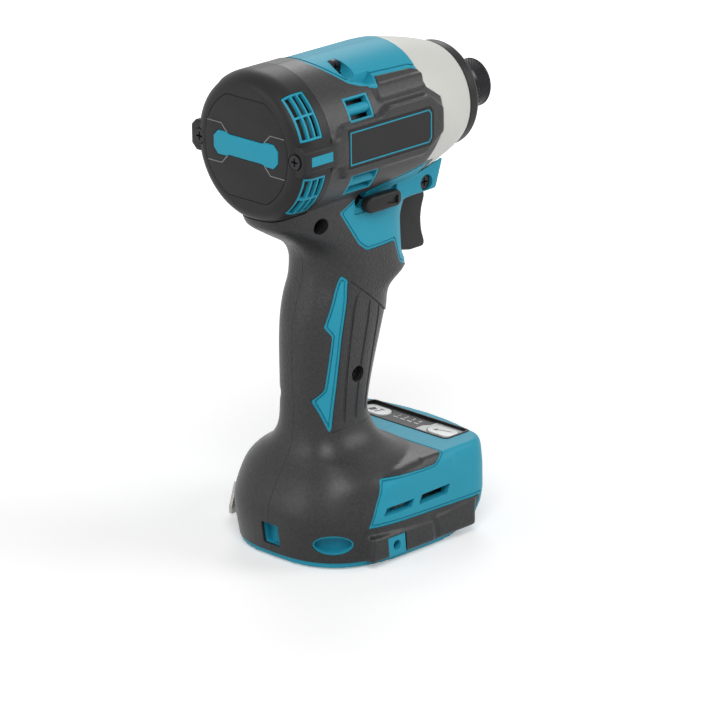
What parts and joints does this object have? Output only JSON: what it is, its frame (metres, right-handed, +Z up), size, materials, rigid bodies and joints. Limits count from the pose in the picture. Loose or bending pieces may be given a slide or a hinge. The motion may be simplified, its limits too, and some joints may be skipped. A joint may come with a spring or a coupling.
{
  "type": "cordless impact driver",
  "caption": "Pistol-grip cordless impact driver with soft grip, hex bit chuck with pull sleeve, trigger, direction lever, mode panel, belt hook and pack rails.",
  "frame": {"origin": "On the middle plane, on the flat bottom of the foot, under its rear rim", "axes": "+X forward along the bit axis, +Y to the tool's left, +Z up from the foot to the head"},
  "size_m": [0.1261, 0.0856, 0.2],
  "materials": {
    "teal_plastic": "fine grain",
    "grip_rubber": "matte grain",
    "black_plastic": "satin",
    "case_metal": "painted, satin",
    "dark_steel": "black oxide",
    "steel": "ground",
    "bronze": "sintered",
    "copper": "enamelled wire",
    "board": "solder mask",
    "white_plastic": "smooth",
    "clear": "clear",
    "magnet": "plated",
    "nickel": "nickel plated"
  },
  "bodies": {
    "body": {"housing_right": "teal_plastic", "housing_left": "teal_plastic", "grip_right": "grip_rubber", "grip_left": "grip_rubber", "rear_cover": "black_plastic", "rear_plate": "black_plastic", "rear_band": "teal_plastic", "rear_vents": "teal_plastic", "intake_vents": "teal_plastic", "lug_marks": "teal_plastic", "cover_screws": "dark_steel", "housing_screws": "dark_steel", "name_plates": "black_plastic", "hammer_case": "case_metal", "anvil_bush": "bronze", "nose_bumper": "grip_rubber", "ring_gear": "dark_steel", "gear_case": "black_plastic", "spindle_bearing": "steel", "motor_bearings": "steel", "stator_core": "dark_steel", "stator_coils": "copper", "sensor_board": "board", "trigger_spring": "steel", "switch_body": "black_plastic", "motor_leads": "copper", "controller": "case_metal", "terminal_block": "black_plastic", "terminals": "bronze", "mode_panel": "black_plastic", "panel_board": "board", "lamp_lens": "clear", "belt_hook": "nickel", "hook_screw": "nickel", "hook_inserts": "teal_plastic"},
    "rotor": {"rotor_shaft": "steel", "rotor_core": "dark_steel", "rotor_magnets": "magnet", "fan": "black_plastic"},
    "spindle": {"spindle": "steel", "planet_pins": "steel", "hammer_spring": "steel"},
    "planet_a": {"planet_gear_a": "steel"},
    "planet_b": {"planet_gear_b": "steel"},
    "planet_c": {"planet_gear_c": "steel"},
    "spring_seat": {"spring_seat": "steel"},
    "hammer": {"hammer": "dark_steel"},
    "cam_left": {"cam_ball_left": "steel"},
    "cam_right": {"cam_ball_right": "steel"},
    "anvil": {"anvil": "steel", "sleeve_ring": "steel", "sleeve_spring": "steel"},
    "sleeve": {"bit_sleeve": "dark_steel"},
    "lock_upper": {"bit_ball_upper": "steel"},
    "lock_lower": {"bit_ball_lower": "steel"},
    "trigger": {"trigger": "black_plastic"},
    "lever": {"direction_lever": "black_plastic"},
    "mode_button": {"mode_button": "white_plastic"},
    "light_button": {"light_button": "white_plastic"}
  },
  "joints": [
    {"name": "drive_spin", "type": "hinge", "parent": "body", "child": "spindle", "pos_m": [0, 0, 0.17], "axis": [1, 0, 0], "continuous": true},
    {"name": "rotor_spin", "type": "hinge", "parent": "body", "child": "rotor", "pos_m": [0, 0, 0.17], "axis": [1, 0, 0], "continuous": true},
    {"name": "planet_spin_a", "type": "hinge", "parent": "spindle", "child": "planet_a", "pos_m": [0, 0, 0.1826], "axis": [1, 0, 0], "continuous": true},
    {"name": "planet_spin_b", "type": "hinge", "parent": "spindle", "child": "planet_b", "pos_m": [0, -0.01091, 0.1637], "axis": [1, 0, 0], "continuous": true},
    {"name": "planet_spin_c", "type": "hinge", "parent": "spindle", "child": "planet_c", "pos_m": [0, 0.01091, 0.1637], "axis": [1, 0, 0], "continuous": true},
    {"name": "hammer_slide", "type": "slide", "parent": "spindle", "child": "spring_seat", "axis": [-1, 0, 0], "range_m": [0, 0.006], "stiffness_N_per_m": 9000, "springref_m": -0.004, "deforming": ["hammer_spring"]},
    {"name": "hammer_turn", "type": "hinge", "parent": "spring_seat", "child": "hammer", "pos_m": [0, 0, 0.17], "axis": [1, 0, 0], "range_deg": [0, 40]},
    {"name": "cam_run_left", "type": "slide", "parent": "spindle", "child": "cam_left", "axis": [-0.7253, -0.1196, 0.678], "range_m": [0, 0.00414]},
    {"name": "cam_run_right", "type": "slide", "parent": "spindle", "child": "cam_right", "axis": [-0.7253, 0.1196, -0.678], "range_m": [0, 0.00414]},
    {"name": "anvil_spin", "type": "hinge", "parent": "body", "child": "anvil", "pos_m": [0, 0, 0.17], "axis": [1, 0, 0], "continuous": true},
    {"name": "sleeve_slide", "type": "slide", "parent": "anvil", "child": "sleeve", "axis": [1, 0, 0], "range_m": [0, 0.0025], "stiffness_N_per_m": 1200, "springref_m": -0.002, "deforming": ["sleeve_spring"]},
    {"name": "lock_upper_lift", "type": "slide", "parent": "anvil", "child": "lock_upper", "axis": [0, 0, 1], "range_m": [0, 0.00075]},
    {"name": "lock_lower_lift", "type": "slide", "parent": "anvil", "child": "lock_lower", "axis": [0, 0, -1], "range_m": [0, 0.00075]},
    {"name": "trigger_pull", "type": "slide", "parent": "body", "child": "trigger", "axis": [-1, 0, 0], "range_m": [0, 0.0065], "stiffness_N_per_m": 900, "springref_m": -0.003, "deforming": ["trigger_spring"]},
    {"name": "direction_change", "type": "hinge", "parent": "body", "child": "lever", "pos_m": [0.0285, 0, 0.1413], "axis": [0, 0, 1], "range_deg": [-7, 7]},
    {"name": "mode_press", "type": "slide", "parent": "body", "child": "mode_button", "axis": [0, 0, -1], "range_m": [0, 0.0006], "stiffness_N_per_m": 1500, "springref_m": -0.0005},
    {"name": "light_press", "type": "slide", "parent": "body", "child": "light_button", "axis": [0, 0, -1], "range_m": [0, 0.0006], "stiffness_N_per_m": 1500, "springref_m": -0.0005}
  ],
  "couplings": [
    {"joint": "rotor_spin", "follows": "drive_spin", "ratio": 6},
    {"joint": "planet_spin_a", "follows": "drive_spin", "ratio": -2.5},
    {"joint": "planet_spin_b", "follows": "drive_spin", "ratio": -2.5},
    {"joint": "planet_spin_c", "follows": "drive_spin", "ratio": -2.5},
    {"joint": "anvil_spin", "follows": "drive_spin", "ratio": 1},
    {"joint": "hammer_turn", "follows": "hammer_slide", "rad_per_m": 116.35},
    {"joint": "cam_run_left", "follows": "hammer_slide", "ratio": 0.68941},
    {"joint": "cam_run_right", "follows": "hammer_slide", "ratio": 0.68941},
    {"joint": "lock_upper_lift", "follows": "sleeve_slide", "ratio": 0.3},
    {"joint": "lock_lower_lift", "follows": "sleeve_slide", "ratio": 0.3}
  ]
}
